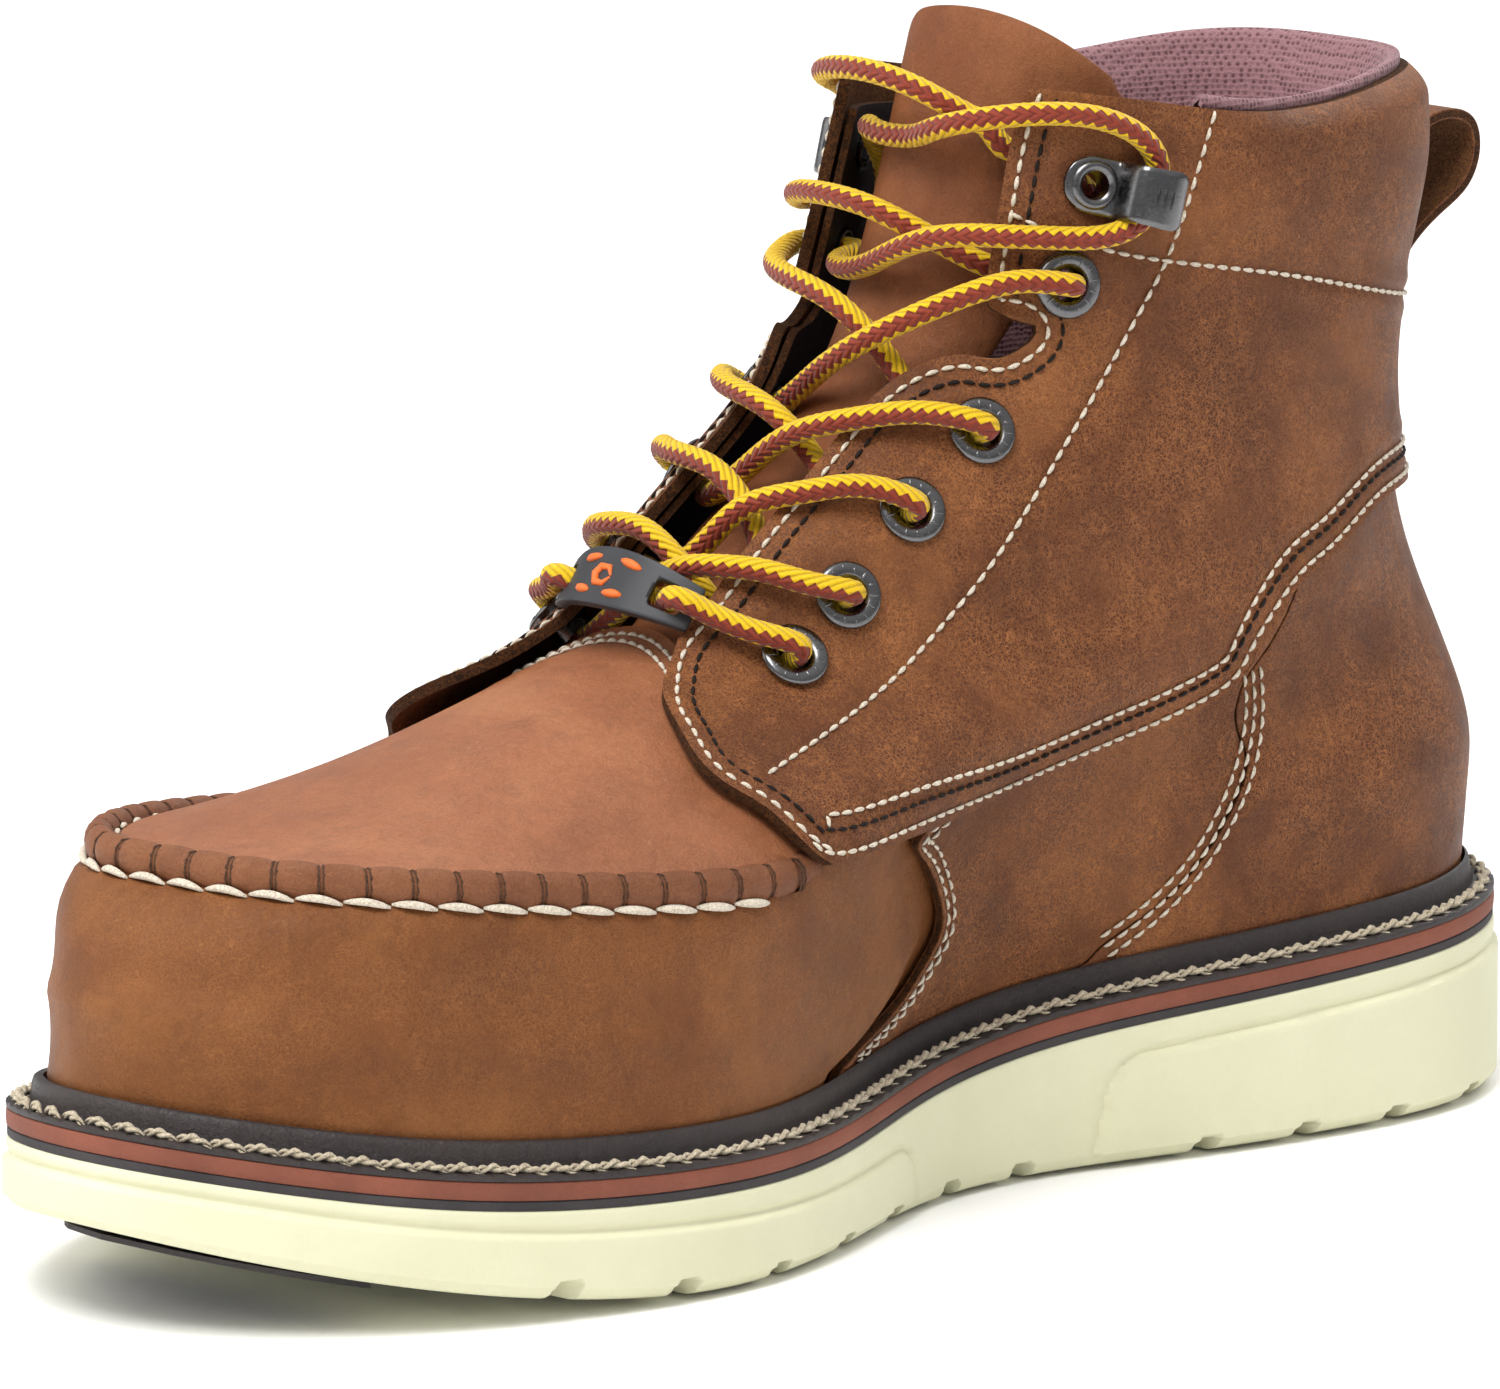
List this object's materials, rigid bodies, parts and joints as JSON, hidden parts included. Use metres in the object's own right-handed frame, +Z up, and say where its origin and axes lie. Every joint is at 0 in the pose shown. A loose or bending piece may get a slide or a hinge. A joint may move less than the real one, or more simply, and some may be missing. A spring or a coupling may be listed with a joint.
{
  "type": "steel toe work boot",
  "caption": "Laced leather work boot with a stitched moc toe over a steel toe cap, a welted cream wedge sole, a padded mesh collar and a heel pull loop.",
  "frame": {"origin": "on the floor, on the flat underside of the sole's plain middle rib, under the middle of the upper at the arch", "axes": "+Z up from the floor, -Y towards the toe and +Y towards the heel, +X towards the inner side of the foot of a right boot"},
  "size_m": [0.1143, 0.3124, 0.1908],
  "materials": {
    "sole_rubber": "cream crepe rubber, matt",
    "tread_insert": "dark rubber, matt",
    "brick_rubber": "brick red rubber, matt",
    "dark_rubber": "dark grey rubber, matt",
    "welt_leather": "very dark brown leather",
    "cork": "bound cork",
    "insole_board": "pressed fibre board",
    "footbed": "knitted cover on foam",
    "shank_steel": "plain rolled steel",
    "cap_steel": "coated pressed steel",
    "cap_trim": "soft edge strip",
    "upper_leather": "oiled tan brown, pull-up",
    "apron_leather": "oiled tan brown, pull-up",
    "roll_leather": "pleated brown leather",
    "facing_lining": "black, smooth",
    "counter_board": "stiff moulded sheet",
    "mesh_lining": "plum spacer mesh",
    "foam": "soft foam",
    "vamp_lining": "non-woven lining",
    "backstay_leather": "oiled brown leather",
    "tongue_leather": "soft brown leather",
    "gunmetal": "dark polished gunmetal",
    "rivet_metal": "dark polished gunmetal",
    "lace": "braided, yellow and rust",
    "aglet": "clear wrapped film",
    "tag_rubber": "moulded dark rubber with orange marks"
  },
  "bodies": {
    "boot": {"outsole": "sole_rubber", "toe_tread_insert": "tread_insert", "brick_midsole": "brick_rubber", "rubber_midsole": "dark_rubber", "storm_welt": "welt_leather", "cork_filler": "cork", "insole_board": "insole_board", "steel_shank": "shank_steel", "steel_toe_cap": "cap_steel", "toe_cap_trim": "cap_trim", "vamp": "upper_leather", "apron": "apron_leather", "moc_seam_roll": "roll_leather", "side_panel_medial": "upper_leather", "side_panel_lateral": "upper_leather", "heel_panel": "upper_leather", "quarter_medial": "upper_leather", "quarter_lateral": "upper_leather", "facing_lining_medial": "facing_lining", "facing_lining_lateral": "facing_lining", "heel_counter": "counter_board", "shaft_lining": "mesh_lining", "collar_padding": "foam", "vamp_lining": "vamp_lining", "backstay": "backstay_leather", "eyelet_medial_1": "gunmetal", "eyelet_medial_2": "gunmetal", "eyelet_medial_3": "gunmetal", "eyelet_medial_4": "gunmetal", "eyelet_medial_5": "gunmetal", "eyelet_lateral_1": "gunmetal", "eyelet_lateral_2": "gunmetal", "eyelet_lateral_3": "gunmetal", "eyelet_lateral_4": "gunmetal", "eyelet_lateral_5": "gunmetal", "lace_hook_medial": "gunmetal", "lace_hook_lateral": "gunmetal", "hook_rivet_medial": "rivet_metal", "hook_rivet_lateral": "rivet_metal", "lace": "lace", "aglet_lateral": "aglet", "aglet_medial": "aglet"},
    "tongue": {"tongue": "tongue_leather", "tongue_lining": "mesh_lining"},
    "pull_loop": {"pull_loop": "backstay_leather"},
    "footbed": {"footbed": "footbed"},
    "lace_tag": {"lace_tag": "tag_rubber"}
  },
  "joints": [
    {"name": "tongue_tilt", "type": "hinge", "parent": "boot", "child": "tongue", "pos_m": [0, -0.029, 0.091], "axis": [-1, 0, 0], "range_deg": [0, 8]},
    {"name": "pull_loop_flex", "type": "hinge", "parent": "boot", "child": "pull_loop", "pos_m": [0, 0.1375, 0.152], "axis": [1, 0, 0], "range_deg": [-4, 4]},
    {"name": "footbed_lift", "type": "hinge", "parent": "boot", "child": "footbed", "pos_m": [0, -0.138, 0.04], "axis": [1, 0, 0], "range_deg": [0, 5]},
    {"name": "lace_tag_tilt", "type": "hinge", "parent": "boot", "child": "lace_tag", "pos_m": [0, -0.0328, 0.1028], "axis": [1, 0, 0], "range_deg": [-6, 0]}
  ]
}
